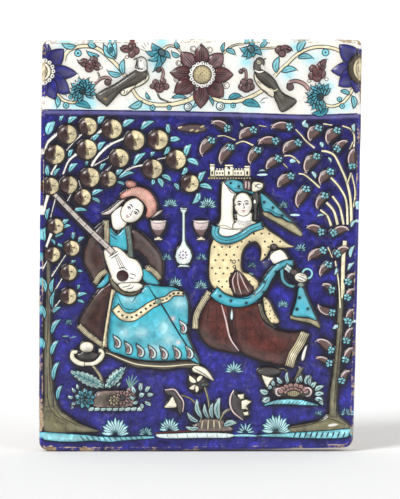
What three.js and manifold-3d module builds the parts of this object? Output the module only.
// Moulded wall tile: a thick slab with rounded edges, and a picture raised from its face.
// The tile is drawn lying on its back, x to the right, y up the picture and z out of its face.
// At the end it is stood up, so that its back is the plane y = 0 and its face looks along -y.
// All sizes are in millimetres.

import * as THREE from "three";
import { mergeVertices } from "three/addons/utils/BufferGeometryUtils.js";
import Module from "manifold-3d";

const wasm = await Module();
wasm.setup();

// Driving sizes of the slab
const THICKNESS = 22;
const TOP_LEFT = [-126.8, 166];
const TOP_RIGHT = [131.8, 166.5];
const BOTTOM_RIGHT = [124.5, -163];
const BOTTOM_LEFT = [-129.3, -165.5];
const CORNER_TOP = 6;
const CORNER_BOTTOM = 8;
const SIDE_BOW = 0.8;
const FACE_ROUND = { depth: 4.5, width: 3 };
const BACK_ROUND_KEPT = 2;
const RELIEF_INSET = 2.5;

// How far each kind of form stands out of the face
const RISE = {
  thin: 1.2,
  leaf: 1.6,
  branch: 2,
  fruit: 3.2,
  pod: 2.8,
  flower: 2.6,
  bird: 3.2,
  vessel: 2.6,
  cloth: 2.6,
  limb: 3.8,
  head: 4.4,
};
const FOOTING = 1;
const LOBE_DEPTH = 0.14;

// How finely the forms are cut
const DOME_SIDES = 8;
const LIMB_SIDES = 6;
const STEM_SIDES = 4;
const OUTLINE_SPACING = 10;
const STEP_LENGTH = 20;
const LEAST_STEP = 0.04;

const degrees = THREE.MathUtils.degToRad;

// Turns a closed three.js geometry into a solid that can be joined and cut.
function solid(geometry) {
  geometry.deleteAttribute("normal");
  geometry.deleteAttribute("uv");
  const merged = mergeVertices(geometry, 1e-4);
  const corners = merged.index.array;
  const triangles = [];
  for (let i = 0; i < corners.length; i += 3) {
    const [a, b, c] = [corners[i], corners[i + 1], corners[i + 2]];
    if (a !== b && b !== c && c !== a) {
      triangles.push(a, b, c);
    }
  }
  const mesh = new wasm.Mesh({
    numProp: 3,
    vertProperties: merged.attributes.position.array,
    triVerts: new Uint32Array(triangles),
  });
  return new wasm.Manifold(mesh);
}

// A rounded boss: a low dome on an ellipse, standing on a footing sunk below the face.
function dome([x, y], [halfWidth, halfLength], rise, turn = 0) {
  const geometry = new THREE.LatheGeometry(domeProfile(rise), DOME_SIDES);
  geometry.rotateX(Math.PI / 2);
  geometry.scale(halfWidth, halfLength, 1);
  geometry.rotateZ(degrees(turn));
  geometry.translate(x, y, THICKNESS);
  return solid(geometry);
}

function domeProfile(rise) {
  return [[0, -FOOTING], [0.9, -FOOTING], [1, 0], [0.8, rise * 0.65], [0.4, rise * 0.95], [0, rise]]
    .map(([radius, height]) => new THREE.Vector2(radius, height));
}

// A small open flower: a dome whose rim runs in and out once for each lobe.
function blossom([x, y], radius, lobes, rise = RISE.flower) {
  const profile = domeProfile(rise).filter((point, i) => i !== 4);
  const geometry = new THREE.LatheGeometry(profile, 2 * lobes);
  geometry.rotateX(Math.PI / 2);
  const position = geometry.attributes.position;
  for (let i = 0; i < position.count; i += 1) {
    const angle = Math.atan2(position.getY(i), position.getX(i));
    const reach = radius * (1 - LOBE_DEPTH * (1 - Math.cos(lobes * (angle + Math.PI / 2))));
    position.setXY(i, position.getX(i) * reach, position.getY(i) * reach);
  }
  geometry.translate(x, y, THICKNESS);
  return solid(geometry);
}

// Outlines of long forms: the share of the full width at each part of the length.
const OUTLINES = {
  stem: [[0, 0.9], [1, 0.6]],
  limb: [[0, 0.6], [0.2, 1], [0.8, 0.9], [1, 0.5]],
  leaf: [[0, 0.12], [0.45, 1], [1, 0.05]],
  pod: [[0, 0.4], [0.3, 1], [0.7, 0.75], [1, 0.05]],
  pear: [[0, 0.3], [0.3, 0.6], [0.65, 1], [0.9, 0.85], [1, 0.3]],
  skirt: [[0, 0.35], [0.35, 0.75], [0.7, 1], [1, 0.75]],
};

// A long form bent along a path: a turned spindle whose axis follows the path and
// whose section is an ellipse, so that only its upper half stands out of the face.
function spindle(path, width, rise, outline, sides) {
  const points = path.map(([x, y]) => new THREE.Vector3(x, y, 0));
  const straight = points.length === 2;
  const curve = straight ? new THREE.LineCurve3(...points) : new THREE.CatmullRomCurve3(points);
  const steps = Math.ceil(curve.getLength() / STEP_LENGTH);
  const shares = OUTLINES[outline];
  const stations = [...shares.map(([t]) => t), ...(straight ? [] : evenly(steps))].sort((a, b) => a - b);
  const apart = stations.filter((t, i) => i === 0 || t - stations[i - 1] > LEAST_STEP);
  const profile = apart.map((t) => new THREE.Vector2(shareAt(shares, t), t));
  profile.unshift(new THREE.Vector2(0, 0));
  profile.push(new THREE.Vector2(0, profile.at(-1).y));
  const geometry = new THREE.LatheGeometry(profile, sides, Math.PI / 2);
  const position = geometry.attributes.position;
  for (let i = 0; i < position.count; i += 1) {
    const t = THREE.MathUtils.clamp(position.getY(i), 0, 1);
    const centre = curve.getPointAt(t);
    const along = curve.getTangentAt(t);
    const aside = (position.getX(i) * width) / 2;
    const up = position.getZ(i) * rise;
    position.setXYZ(i, centre.x + along.y * aside, centre.y - along.x * aside, THICKNESS + up);
  }
  return solid(geometry);
}

function evenly(count) {
  return Array.from({ length: count + 1 }, (_, i) => i / count);
}

// The share of the full width at t, straight between the named places.
function shareAt(shares, t) {
  const next = Math.max(1, shares.findIndex(([place]) => place >= t));
  const [[t0, share0], [t1, share1]] = [shares[next - 1], shares[next]];
  return THREE.MathUtils.lerp(share0, share1, (t - t0) / (t1 - t0));
}

const stem = (path, width, rise = RISE.branch) => spindle(path, width, rise, "stem", STEM_SIDES);
const limb = (path, width, rise = RISE.limb) => spindle(path, width, rise, "limb", LIMB_SIDES);
const leaf = (path, width, rise = RISE.leaf) => spindle(path, width, rise, "leaf", STEM_SIDES);
const pod = (path, width, rise = RISE.pod) => spindle(path, width, rise, "pod", LIMB_SIDES);

// A raised patch with a smooth closed outline through a few points and a bevelled edge.
function patch(points, rise, edge = 1) {
  const curve = new THREE.CatmullRomCurve3(points.map(([x, y]) => new THREE.Vector3(x, y, 0)), true);
  const count = Math.ceil(curve.getLength() / OUTLINE_SPACING);
  const smooth = curve.getSpacedPoints(count).slice(0, -1);
  return plate(polygon(smooth.map(({ x, y }) => [x, y])), rise, edge);
}

// The same for an outline with straight sides.
function plate(outline, rise, edge) {
  const geometry = new THREE.ExtrudeGeometry(outline, {
    depth: rise + FOOTING - edge,
    steps: 1,
    bevelThickness: edge,
    bevelSize: edge,
    bevelOffset: -edge,
    bevelSegments: 1,
    curveSegments: 4,
  });
  geometry.translate(0, 0, THICKNESS - FOOTING);
  return solid(geometry);
}

function polygon(points) {
  return new THREE.Shape(points.map(([x, y]) => new THREE.Vector2(x, y)));
}

// Point at a distance and a compass-like angle (0 to the right, 90 up) from a centre.
function polar([x, y], reach, angle) {
  return [x + reach * Math.cos(degrees(angle)), y + reach * Math.sin(degrees(angle))];
}

// The tile's outline, drawn in by a margin: four corners, rounded, joined by slightly bowed sides.
function tileOutline(margin) {
  const corners = [
    { at: [BOTTOM_LEFT[0] + margin, BOTTOM_LEFT[1] + margin], round: CORNER_BOTTOM },
    { at: [BOTTOM_RIGHT[0] - margin, BOTTOM_RIGHT[1] + margin], round: CORNER_BOTTOM },
    { at: [TOP_RIGHT[0] - margin, TOP_RIGHT[1] - margin], round: CORNER_TOP },
    { at: [TOP_LEFT[0] + margin, TOP_LEFT[1] - margin], round: CORNER_TOP },
  ];
  const outline = new THREE.Shape();
  corners.forEach(({ at, round }, i) => {
    const corner = new THREE.Vector2(...at);
    const before = new THREE.Vector2(...corners[(i + 3) % 4].at);
    const after = new THREE.Vector2(...corners[(i + 1) % 4].at);
    const start = corner.clone().add(before.sub(corner).setLength(round));
    const end = corner.clone().add(after.clone().sub(corner).setLength(round));
    if (i === 0) {
      outline.moveTo(start.x, start.y);
    } else {
      bowedTo(outline, start);
    }
    outline.quadraticCurveTo(corner.x, corner.y, end.x, end.y);
  });
  bowedTo(outline, outline.getPoint(0));
  return outline;
}

// Adds a side that swells outwards by SIDE_BOW in its middle.
function bowedTo(outline, end) {
  const start = outline.currentPoint.clone();
  const along = end.clone().sub(start);
  const outwards = new THREE.Vector2(along.y, -along.x).setLength(2 * SIDE_BOW);
  const middle = start.clone().add(end).multiplyScalar(0.5).add(outwards);
  outline.quadraticCurveTo(middle.x, middle.y, end.x, end.y);
}

// The slab: its face edges are well rounded, and its sawn back keeps a little of a rounding.
function slab() {
  const geometry = new THREE.ExtrudeGeometry(tileOutline(0), {
    depth: THICKNESS - FACE_ROUND.depth - BACK_ROUND_KEPT,
    steps: 1,
    bevelThickness: FACE_ROUND.depth,
    bevelSize: FACE_ROUND.width,
    bevelOffset: -FACE_ROUND.width,
    bevelSegments: 2,
    curveSegments: 4,
  });
  geometry.translate(0, 0, BACK_ROUND_KEPT);
  const below = new THREE.BoxGeometry(400, 400, 20);
  below.translate(0, 0, -10);
  return solid(geometry).subtract(solid(below));
}

// Chips that have broken off the lower edges: places, half sizes and depth below the face.
const CHIPS = [
  { at: [-130, -141], half: [4.5, 9], deep: 5 },
  { at: [-119.5, -164.5], half: [5, 3.5], deep: 3 },
  { at: [-92, -164.5], half: [5, 3], deep: 3 },
];

function chips() {
  return CHIPS.map(({ at: [x, y], half: [halfWidth, halfLength], deep }) => {
    const geometry = new THREE.SphereGeometry(1, 9, 6);
    geometry.scale(halfWidth, halfLength, deep);
    geometry.translate(x, y, THICKNESS);
    return solid(geometry);
  });
}

// A flower: petals round a centre, one for each reach in the list, and a boss in the middle.
function flower(centre, { reaches, from = 0, spread = 360, width, boss, rise = RISE.flower }) {
  const petals = reaches.map((reach, i) => {
    const angle = from + (spread * i) / reaches.length;
    return pod([polar(centre, boss * 0.6, angle), polar(centre, reach, angle)], width, rise * 0.85);
  });
  return [...petals, dome(centre, [boss, boss], rise)];
}

// Border

const BORDER_LINE = [[-124, 109], [0, 107], [90, 105], [128, 106]];
const GREAT_FLOWER = { reaches: [24.5, 21.6, 22.5, 24, 27, 28, 28.5, 23], width: 13, boss: 9.5 };
const CORNER_FLOWERS = [
  { at: [-126, 140], reaches: [23, 26.8, 27.5, 26.2, 21.8], from: -82, spread: 202, width: 14, boss: 11 },
  { at: [132, 143], reaches: [17.3, 27.6, 25.6, 24.3, 20.4], from: 98, spread: 200, width: 14, boss: 11 },
];
const SMALL_FLOWERS = [
  { at: [-87, 145], radius: 8.5, lobes: 5 },
  { at: [-94, 125], radius: 10, lobes: 6 },
  { at: [-56, 158], radius: 7.5, lobes: 5 },
  { at: [-33, 156], radius: 8.5, lobes: 6 },
  { at: [-32, 128], radius: 7.5, lobes: 5 },
  { at: [38, 128.5], radius: 7.5, lobes: 5 },
  { at: [41.5, 156], radius: 8.5, lobes: 6 },
  { at: [66, 158], radius: 7.5, lobes: 5 },
  { at: [96, 140], radius: 9, lobes: 5 },
  { at: [94, 120], radius: 10, lobes: 6 },
];
const BORDER_STEMS = [
  [[-110, 149], [-100, 160], [-84, 160], [-70, 148], [-61, 137]],
  [[-117, 126], [-108, 117], [-96, 121]],
  [[-52, 126], [-40, 116], [-20, 114], [-4, 119.5]],
  [[-30, 160], [-20, 161], [-13, 155]],
  [[20, 156], [29, 162], [40, 161]],
  [[48, 159], [62, 158.5]],
  [[7, 120], [25, 116], [40, 118.5], [52, 125]],
  [[61, 136], [72, 147], [88, 159], [112, 157.5]],
  [[103, 114], [117, 117], [125, 127]],
];
const BORDER_LEAVES = [
  [[-99, 161.5], [-111, 162]],
  [[-62, 138], [-60, 150]],
  [[-69, 149], [-68, 164]],
  [[-6, 118], [-24, 121.5]],
  [[24, 118], [37, 120]],
  [[37, 114], [49, 111.5]],
  [[68, 139], [80, 141.5]],
  [[82, 157], [86, 165]],
  [[108, 110], [90, 106.5]],
];
// One bird faces the great flower from each side; the same bird is turned over for the right.
const BIRDS = [
  { head: [-47, 147.5], toRight: 1 },
  { head: [48, 147], toRight: -1 },
];

function bird({ head: [x, y], toRight }) {
  const at = ([dx, dy]) => [x - dx * toRight, y - dy];
  return [
    dome([x, y], [4.6, 4.6], RISE.bird),
    leaf([at([2, -1]), at([7, -3.5])], 3.4, RISE.thin),
    pod([[0, 3], [6, 15], [22, 25], [37, 32]].map(at), 14, RISE.bird),
    leaf([[-4, 10], [2, 19], [14, 25]].map(at), 7, RISE.cloth),
  ];
}

function border() {
  return [
    ...flower([3, 139.5], GREAT_FLOWER),
    ...CORNER_FLOWERS.flatMap((kind) => flower(kind.at, kind)),
    ...SMALL_FLOWERS.map(({ at, radius, lobes }) => blossom(at, radius, lobes)),
    ...BORDER_STEMS.map((path) => stem(path, 3.4, RISE.leaf)),
    ...BORDER_LEAVES.map((path) => leaf(path, 5)),
    ...BIRDS.flatMap(bird),
    stem(BORDER_LINE, 4, RISE.thin),
  ];
}

// Fruit tree on the left: each fruit has its radius, and some have a leaf at an angle

const FRUITS = [
  { at: [-106, 89.7], r: 8, leafTo: 65 },
  { at: [-89.5, 96], r: 7.5, leafTo: 20 },
  { at: [-70, 94], r: 8 },
  { at: [-52, 84.8], r: 8.3, leafTo: 115 },
  { at: [-116, 73.5], r: 8.2 },
  { at: [-90.5, 77.5], r: 8.4, leafTo: 15 },
  { at: [-64.3, 70.5], r: 7.8 },
  { at: [-119.5, 48], r: 7.2 },
  { at: [-105, 49], r: 7.5, leafTo: 60 },
  { at: [-88, 55], r: 8.2, leafTo: 35 },
  { at: [-73, 53.8], r: 6.6, leafTo: 5 },
  { at: [-33, 85.4], r: 8.2, leafTo: 300 },
  { at: [-18.5, 69.3], r: 8.1, leafTo: 45 },
  { at: [-37.5, 61.8], r: 8 },
  { at: [-7.3, 50.3], r: 7.4, leafTo: 345 },
  { at: [-93.8, 39], r: 7, leafTo: 15 },
  { at: [-115.3, 15.8], r: 6.4 },
  { at: [-102.5, -2], r: 6.4, leafTo: 45 },
  { at: [-118, -7], r: 6.5 },
  { at: [-105, -21.5], r: 6.8, leafTo: 15 },
  { at: [-105.2, -40.7], r: 6.7, leafTo: 10 },
];
const LEAF_OFF_FRUIT = { start: 0.5, length: 10, width: 5 };
const FRUIT_TRUNK = [[-121.5, -8], [-121, -40], [-122, -60], [-121.5, -100], [-120, -136]];
const FRUIT_ROOT = [[-121, -120], [-113, -132], [-96, -143], [-80, -149]];
const FRUIT_BOUGHS = [
  [[-122, 40], [-125, 31], [-126, 18]],
  [[-119, 9], [-124, -4], [-122, -20]],
  [[-118.6, -24.8], [-107.8, -7.7]],
  [[-118.6, -52.8], [-110, -34]],
];
const FRUIT_TWIGS = [
  [[-124, 75], [-122, 82], [-114, 90]],
  [[-86, 64], [-80, 74], [-60, 86]],
  [[-109, 58], [-106, 66], [-97, 74]],
  [[-60, 59], [-46, 65]],
];

function fruitTree() {
  const leaves = FRUITS.filter(({ leafTo }) => leafTo !== undefined).map(({ at, r, leafTo }) => {
    const { start, length, width } = LEAF_OFF_FRUIT;
    return leaf([polar(at, r + start, leafTo), polar(at, r + length, leafTo)], width);
  });
  return [
    ...FRUITS.map(({ at, r }) => dome(at, [r, r], RISE.fruit)),
    ...leaves,
    ...FRUIT_TWIGS.map((path) => stem(path, 2.4, RISE.thin)),
    ...FRUIT_BOUGHS.map((path) => stem(path, 3.6)),
    limb(FRUIT_TRUNK, 7, RISE.branch),
    limb(FRUIT_ROOT, 10, RISE.leaf),
  ];
}

// Pod tree on the right: each pod runs from its stalk to its tip

const PODS = [
  { path: [[24, 93], [10, 99.5]], width: 9 },
  { path: [[11, 87], [1, 82], [1.5, 72.5]], width: 12 },
  { path: [[26, 81], [19, 76], [17, 65]], width: 12 },
  { path: [[45, 94], [36, 92], [32, 85.5]], width: 11 },
  { path: [[63, 87], [54, 88], [47, 82.5]], width: 13 },
  { path: [[74, 97], [57.5, 95]], width: 9 },
  { path: [[81, 84], [72, 82], [67, 74.5]], width: 11 },
  { path: [[97, 97], [92.5, 91], [89, 84]], width: 12 },
  { path: [[112, 93], [106, 91], [103, 83]], width: 11 },
  { path: [[111, 78], [115, 84], [121, 86]], width: 10 },
  { path: [[122, 61], [122, 70], [125, 79]], width: 9 },
  { path: [[49, 79], [42, 76], [40, 66]], width: 11 },
  { path: [[66, 73], [57, 70], [54, 61.5]], width: 12 },
  { path: [[96, 73], [86, 70], [85, 59]], width: 14 },
  { path: [[76, 58], [67, 55], [63, 46.7]], width: 12 },
  { path: [[106.8, 61], [99, 58], [96, 49]], width: 11 },
  { path: [[86, 46], [80, 41], [79, 30]], width: 12 },
  { path: [[103, 40], [97, 37], [94, 29]], width: 9 },
  { path: [[102, 14], [94, 17], [86, 14]], width: 10 },
  { path: [[107, 8], [113, 13], [121, 14]], width: 9 },
  { path: [[110, -8], [116, -2], [122, -1]], width: 9 },
  { path: [[102, -5], [94, -3], [87, -12]], width: 10 },
  { path: [[107, -13], [100, -16], [97, -25]], width: 8 },
  { path: [[109, -36], [99, -31]], width: 7 },
  { path: [[118.5, -44], [122, -35], [124, -22]], width: 8 },
  { path: [[108.5, -56], [102, -52], [95, -48]], width: 9 },
  { path: [[119, -62], [124, -50.5]], width: 7 },
  { path: [[118, -78], [124, -65.5]], width: 8 },
  { path: [[107.4, -85], [101, -81], [94, -76]], width: 10 },
  { path: [[106, -95], [93.5, -90]], width: 7 },
  { path: [[116, -94], [124, -81.5]], width: 8 },
  { path: [[113, -110], [121, -100]], width: 8 },
];
const POD_TRUNK = [[114, -48], [113, -70], [110.5, -100], [107.5, -138]];
const POD_ROOTS = [
  [[60, -150], [76, -146], [95, -141], [108, -137]],
  [[107, -136], [116, -140], [122, -148]],
];
const POD_STEMS = [
  [[118, 17], [107, 18], [98, 30]],
  [[118, 16], [113, 30], [105, 42]],
  [[118, 16], [117, 34], [105, 53]],
  [[115, -45], [116, -10], [120.5, 18], [120, 40], [112, 66], [98, 77]],
  [[112, -46], [112, -28], [110, -10]],
  [[120, 50], [124, 62]],
  [[124.5, 77], [123, 93], [108, 97]],
  [[92, 80], [84, 87], [77, 94]],
  [[68, 72], [76, 72], [84, 65]],
  [[97, 47], [86, 56], [79, 58]],
  [[14, 88], [30, 83], [44, 81]],
];
const HILL_BEYOND = [[-18, 92], [-12, 97], [-5, 98], [4, 94], [3, 91], [-8, 90]];

function podTree() {
  return [
    ...PODS.map(({ path, width }) => pod(path, width)),
    ...POD_STEMS.map((path) => stem(path, 2.8, RISE.leaf)),
    limb(POD_TRUNK, 6, RISE.branch),
    ...POD_ROOTS.map((path) => limb(path, 9, RISE.leaf)),
    patch(HILL_BEYOND, RISE.leaf, 0.6),
  ];
}

// Castle, bottle and cups

const CASTLE = {
  left: 9, right: 41, foot: 53.5, wall: 61, tower: 66, towers: [8.5, 20.8, 36.6], towerWidth: 5,
};
const BOTTLE = {
  axis: -12.3, body: [7, 8.5], bodyAt: -8.5, lip: 31, lipHalf: 3, neckHalf: 1.4, foot: -17.5,
};
const CUPS = [
  { axis: -33, rim: 20.5 },
  { axis: 1.5, rim: 20.5 },
];
const CUP = { rimHalf: 6.4, waistHalf: 2.6, footHalf: 3.4, waistDown: 12.5, footDown: 16 };

function castle() {
  const { left, right, foot, wall, tower, towers, towerWidth } = CASTLE;
  const outline = [[left, wall], [left, foot], [right, foot], [right, wall]];
  const rising = towers.map((x) => {
    return [[x, foot + 1], [x + towerWidth, foot + 1], [x + towerWidth, tower], [x, tower]];
  });
  return [outline, ...rising].map((points) => plate(polygon(points), RISE.leaf, 0.5));
}

function bottle() {
  const { axis, body, bodyAt, lip, lipHalf, neckHalf, foot } = BOTTLE;
  const neck = [
    [axis - neckHalf, bodyAt],
    [axis + neckHalf, bodyAt],
    [axis + neckHalf, lip - 6],
    [axis + lipHalf, lip],
    [axis - lipHalf, lip],
    [axis - neckHalf, lip - 6],
  ];
  const footRing = [[axis - 6, foot], [axis + 6, foot], [axis + 3, foot + 3], [axis - 3, foot + 3]];
  return [
    dome([axis, bodyAt], body, RISE.vessel),
    plate(polygon(neck), RISE.leaf, 0.6),
    plate(polygon(footRing), RISE.leaf, 0.6),
  ];
}

function cup({ axis, rim }) {
  const { rimHalf, waistHalf, footHalf, waistDown, footDown } = CUP;
  const right = [
    [axis + footHalf, rim - footDown],
    [axis + waistHalf, rim - waistDown],
    [axis + rimHalf * 0.85, rim - waistDown * 0.6],
    [axis + rimHalf, rim],
  ];
  const left = right.map(([x, y]) => [2 * axis - x, y]).reverse();
  return plate(polygon([...right, ...left]), RISE.vessel, 0.8);
}

// Seated musician

const LUTE = {
  neck: [[-115, 40], [-92, 19], [-69, -5]],
  body: [[-76, 1], [-60, -16], [-46, -33]],
  width: 25,
};
const MUSICIAN_COAT = [
  [-82, 10], [-66, 15], [-50, 13], [-42, 0], [-44, -20], [-60, -36], [-74, -36], [-78, -18],
];
const MUSICIAN_SKIRT = [
  [-70, -38], [-52, -40], [-40, -34], [-20, -33], [-9, -42], [-8, -66],
  [0, -92], [-14, -98], [-42, -98], [-64, -92], [-76, -80], [-70, -62],
];
const COAT_TAIL = [[-71, -35], [-84, -44], [-98, -62], [-90, -72], [-77, -81], [-70, -66], [-66, -46]];

function musician() {
  return [
    patch(MUSICIAN_COAT, RISE.cloth),
    patch(MUSICIAN_SKIRT, RISE.cloth),
    patch(COAT_TAIL, RISE.cloth),
    limb([[-83, 9], [-88, -8], [-86, -22], [-76, -26]], 14),
    limb([[-52, 9], [-38, 0], [-34, -15], [-38, -25]], 15),
    stem(LUTE.neck, 5, RISE.limb),
    spindle(LUTE.body, LUTE.width, RISE.limb, "pear", 8),
    limb([[-66, -33], [-54, -36], [-44, -30]], 7, RISE.head),
    limb([[-66, 10], [-64, 28]], 10, RISE.cloth),
    dome([-54, 27.5], [9, 10.5], RISE.head, -32),
    dome([-50, 38.5], [15, 8.5], RISE.head, -22),
    leaf([[-54, 42], [-66, 34], [-80, 25]], 8, RISE.cloth),
    spindle([[-58, -42], [-42, -62], [-30, -92]], 42, RISE.limb, "skirt", 8),
    spindle([[-42, -44], [-22, -42], [-14, -62], [-10, -80]], 22, RISE.limb, "limb", 8),
    stem([[-66, -50], [-56, -57], [-44, -53], [-32, -43], [-14, -37]], 7, RISE.head),
    stem([[-74, -81], [-58, -91], [-38, -96], [-18, -96], [0, -95]], 6, RISE.cloth),
    stem([[-68, -36], [-73, -56], [-77, -80]], 5, RISE.limb),
    stem([[-97, -62], [-87, -74], [-76, -82]], 5, RISE.limb),
    limb([[-6, -97], [11, -108]], 6.5, RISE.cloth),
  ];
}

// Dancer

const BLOUSE = [
  [14, 8], [30, 4], [46, 14], [56, 10], [40, 0], [36, -14], [44, -34], [30, -40], [12, -34], [9, -14],
];
const TROUSER_BACK = [[10, -34], [2, -50], [-4, -66], [4, -80], [20, -84], [30, -76], [28, -50]];
const TROUSER_FRONT = [
  [22, -46], [48, -46], [60, -64], [82, -69], [84, -82], [72, -96], [46, -92], [28, -80],
];
const SASH = [[12, -37], [22, -44], [36, -46], [50, -36], [58, -24], [66, -15], [75, -14]];
const SASH_END = [[78, -33], [84, -34], [97, -65], [84, -61], [72, -57], [76, -45]];
const VEIL = [[50, 42], [58, 35], [86, 8], [72, 12], [50, 24]];

function dancer() {
  return [
    patch(BLOUSE, RISE.cloth),
    patch(TROUSER_BACK, RISE.cloth),
    patch(TROUSER_FRONT, RISE.cloth),
    patch(VEIL, RISE.leaf, 0.8),
    patch(SASH_END, RISE.cloth, 0.8),
    spindle([[18, -36], [8, -58], [10, -80]], 24, RISE.limb, "skirt", 8),
    spindle([[36, -48], [48, -68], [74, -84]], 30, RISE.limb, "skirt", 8),
    limb([[46, 10], [58, 2], [60, -8], [74, -20], [84, -26]], 9, RISE.limb),
    leaf([[50, 8], [52, -4], [49, -14]], 8, RISE.limb),
    leaf([[52, 8], [66, 3], [77, -1]], 8, RISE.limb),
    limb([[22, 12], [22, 32], [24, 50]], 12, RISE.limb),
    limb([[22, 50], [36, 47], [50, 46]], 9, RISE.cloth),
    limb([[36, 24], [36, 12]], 11, RISE.cloth),
    dome([35.5, 33], [7.5, 9.8], RISE.head, 4),
    limb([[30, 44], [42, 44], [46, 32], [45, 18]], 6, RISE.limb),
    limb([[36, 49], [50, 48]], 9, RISE.limb),
    stem([[14, 14], [18, 4], [30, 4], [44, 13], [52, 17]], 8, RISE.limb),
    stem(SASH, 11, RISE.head),
    stem([[64, -18], [68, -32], [76, -32]], 4, RISE.cloth),
    dome([89, -23], [5.5, 5.5], RISE.cloth),
    stem([[84, -70], [78, -82], [72, -97]], 8, RISE.limb),
    stem([[12, -36], [2, -50], [-4, -64]], 5, RISE.limb),
    leaf([[50, -42], [58, -54], [64, -66]], 9, RISE.limb),
  ];
}

// Meadow: plants at the foot of the picture, and the strip they stand on

const GROUND_STRIPS = [
  [[-127, -153], [-90, -154.5], [-60, -156], [-30, -156]],
  [[46, -156], [80, -155], [123, -152]],
];
const MEADOW_FLOWERS = [
  { at: [-68, -123], radius: 12, lobes: 6 },
  { at: [-90, -123], radius: 8, lobes: 5 },
  { at: [-47, -120], radius: 8, lobes: 5 },
  { at: [76, -117], radius: 11, lobes: 6 },
  { at: [62, -117], radius: 7, lobes: 5 },
  { at: [90, -117], radius: 7, lobes: 5 },
  { at: [101, -120], radius: 5, lobes: 4 },
];
const TULIPS = [
  { at: [-90, -88], half: [11, 5.5] },
  { at: [-90, -82.5], half: [5, 5] },
  { at: [-2, -110], half: [6, 7] },
  { at: [56, -103], half: [10, 5] },
  { at: [-22, -124], half: [7, 9] },
  { at: [33, -127], half: [7, 10] },
];
const MEADOW_STEMS = [
  [[-78, -114], [-80, -105], [-89, -93]],
  [[8, -140], [8, -124], [2, -113]],
  [[-15, -121], [-4, -126], [2, -140]],
  [[28, -134], [18, -142]],
  [[64, -101], [72, -108]],
];
const MEADOW_LEAVES = [
  { path: [[-78, -112], [-90, -104], [-104, -101]], width: 9 },
  { path: [[-75, -114], [-66, -104], [-60, -98.5]], width: 9 },
  { path: [[3, -139], [-1, -123]], width: 5 },
  { path: [[16, -140], [16.5, -122]], width: 5 },
  { path: [[1, -145], [-11, -144]], width: 4 },
  { path: [[19, -144], [30, -142]], width: 4 },
  { path: [[70, -110], [67, -102]], width: 6 },
  { path: [[82, -110], [88, -102]], width: 6 },
];
const ROCKS = [
  { at: [-75, -127], half: [12, 6] },
  { at: [9, -146], half: [15, 4.5] },
  { at: [75, -127], half: [22, 4] },
  { at: [-46, -128], half: [8, 4] },
];

function meadow() {
  return [
    ...GROUND_STRIPS.map((path) => stem(path, 7, RISE.leaf)),
    ...ROCKS.map(({ at, half }) => dome(at, half, RISE.leaf)),
    ...MEADOW_FLOWERS.map(({ at, radius, lobes }) => blossom(at, radius, lobes)),
    ...TULIPS.map(({ at, half }) => dome(at, half, RISE.flower)),
    ...MEADOW_STEMS.map((path) => stem(path, 2.6, RISE.leaf)),
    ...MEADOW_LEAVES.map(({ path, width }) => leaf(path, width)),
  ];
}

// Everything raised is joined, trimmed a little inside the outline, and joined to the slab

function picture() {
  const forms = [
    ...border(),
    ...fruitTree(),
    ...podTree(),
    ...castle(),
    ...bottle(),
    ...CUPS.map(cup),
    ...musician(),
    ...dancer(),
    ...meadow(),
  ];
  const trim = new THREE.ExtrudeGeometry(tileOutline(RELIEF_INSET), {
    depth: THICKNESS,
    bevelEnabled: false,
    curveSegments: 5,
  });
  trim.translate(0, 0, THICKNESS - 2 * RISE.head);
  return wasm.Manifold.union(forms).intersect(solid(trim));
}

function tileGeometry() {
  const whole = wasm.Manifold.union([slab(), picture()]).subtract(wasm.Manifold.union(chips()));
  const { vertProperties, triVerts } = whole.getMesh();
  const geometry = new THREE.BufferGeometry();
  geometry.setAttribute("position", new THREE.BufferAttribute(vertProperties, 3));
  geometry.setIndex(new THREE.BufferAttribute(triVerts, 1));
  geometry.computeVertexNormals();
  return geometry;
}

const glaze = new THREE.MeshStandardMaterial({ color: 0x3a3d8f, roughness: 0.15, metalness: 0 });
const tile = new THREE.Mesh(tileGeometry(), glaze);
tile.name = "tile";
tile.rotation.x = Math.PI / 2;

const part = new THREE.Group();
part.add(tile);

export default part;
